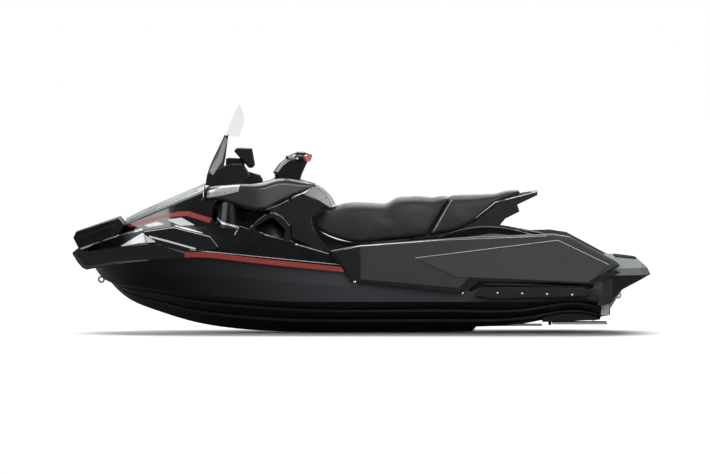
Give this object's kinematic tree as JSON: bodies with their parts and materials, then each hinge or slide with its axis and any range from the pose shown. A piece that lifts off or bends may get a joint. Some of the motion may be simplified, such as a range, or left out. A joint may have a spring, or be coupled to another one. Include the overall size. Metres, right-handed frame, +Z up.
{
  "type": "personal watercraft",
  "caption": "Decked personal watercraft with a jet pump, long two-piece seat, tall side panels, bow storage lid, small clear windscreen and folding boarding step",
  "frame": {"origin": "centreline at mid length, on the waterline", "axes": "+X aft, +Y to starboard, +Z up; the bow points along -X"},
  "size_m": [3.577, 1.2022, 1.4145],
  "materials": {
    "hull_black": "dark hull and bottom gelcoat, satin gloss",
    "deck_grey": "charcoal deck moulding",
    "gloss_black": "high gloss green-black bodywork",
    "gloss_white": "white gloss highlights on the bodywork",
    "stripe_red": "red-orange trim lines",
    "panel_grey": "matte grey side panels",
    "inset_grey": "slightly green-grey insets",
    "trim_black": "matte black mouldings",
    "silver_trim": "silver lids, brackets and edges",
    "seat_charcoal": "matte charcoal seat cover",
    "mat_black": "foam footwell and platform mats",
    "shield_clear": "clear windscreen",
    "grip_black": "handlebar grips",
    "grip_red": "orange-red grip ends",
    "steel": "stainless fittings and tube",
    "pump_alloy": "cast jet pump parts",
    "engine_block": "plain block in place of the engine"
  },
  "bodies": {
    "craft": {"hull": "hull_black", "deck": "deck_grey", "engine": "engine_block", "front_cowl": "gloss_black", "storage_bin": "trim_black", "lid_hinge": "steel", "bow_rail": "gloss_black", "bow_wings": "gloss_black", "bow_bumper": "trim_black", "rub_rails": "stripe_red", "console_cover": "gloss_black", "steering_column": "trim_black", "glove_box": "trim_black", "glove_surround": "silver_trim", "glove_hinge": "steel", "knee_panels": "gloss_black", "footwell_scoops": "trim_black", "windscreen_base": "trim_black", "windscreen_frame": "panel_grey", "windscreen": "shield_clear", "instrument_pod": "trim_black", "display": "trim_black", "display_bracket": "trim_black", "seat_front": "seat_charcoal", "seat_rear": "seat_charcoal", "grab_rail": "trim_black", "side_panels": "panel_grey", "side_insets": "inset_grey", "side_trims": "trim_black", "sponsons": "trim_black", "footwell_mats": "mat_black", "aft_deck": "gloss_white", "pump_housing": "pump_alloy", "ride_plate": "pump_alloy", "intake_grate": "pump_alloy", "step_brackets": "silver_trim", "bow_eye": "steel", "stern_eyes": "steel"},
    "steering": {"steering_stem": "steel", "steering_cover": "trim_black", "handlebar": "trim_black", "grips": "grip_black", "grip_ends": "grip_red", "levers": "trim_black"},
    "nozzle": {"steering_nozzle": "trim_black"},
    "bucket": {"reverse_bucket": "pump_alloy"},
    "rotor": {"impeller": "steel", "drive_shaft": "steel"},
    "lid": {"storage_lid": "gloss_white"},
    "glove_hatch": {"glove_lid": "silver_trim"},
    "step": {"boarding_step": "steel"}
  },
  "joints": [
    {"name": "steering_turn", "type": "hinge", "parent": "craft", "child": "steering", "pos_m": [-0.465, 0, 0.655], "axis": [0.4067, 0, 0.9135], "range_deg": [-25, 25]},
    {"name": "nozzle_turn", "type": "hinge", "parent": "craft", "child": "nozzle", "pos_m": [1.44, 0, -0.13], "axis": [0, 0, 1], "range_deg": [-20, 20]},
    {"name": "bucket_drop", "type": "hinge", "parent": "craft", "child": "bucket", "pos_m": [1.385, 0, -0.13], "axis": [0, 1, 0], "range_deg": [0, 45]},
    {"name": "impeller_spin", "type": "hinge", "parent": "craft", "child": "rotor", "pos_m": [1.235, 0, -0.13], "axis": [1, 0, 0], "continuous": true},
    {"name": "lid_lift", "type": "hinge", "parent": "craft", "child": "lid", "pos_m": [-1.455, 0, 0.38927], "axis": [0, -1, 0], "range_deg": [0, 50]},
    {"name": "glove_lift", "type": "hinge", "parent": "craft", "child": "glove_hatch", "pos_m": [-0.28491, 0, 0.623], "axis": [0, -1, 0], "range_deg": [0, 60]},
    {"name": "step_fold", "type": "hinge", "parent": "craft", "child": "step", "pos_m": [1.516, 0, -0.16], "axis": [0, 1, 0], "range_deg": [0, 120]}
  ],
  "couplings": [
    {"joint": "nozzle_turn", "follows": "steering_turn", "ratio": -0.8}
  ]
}
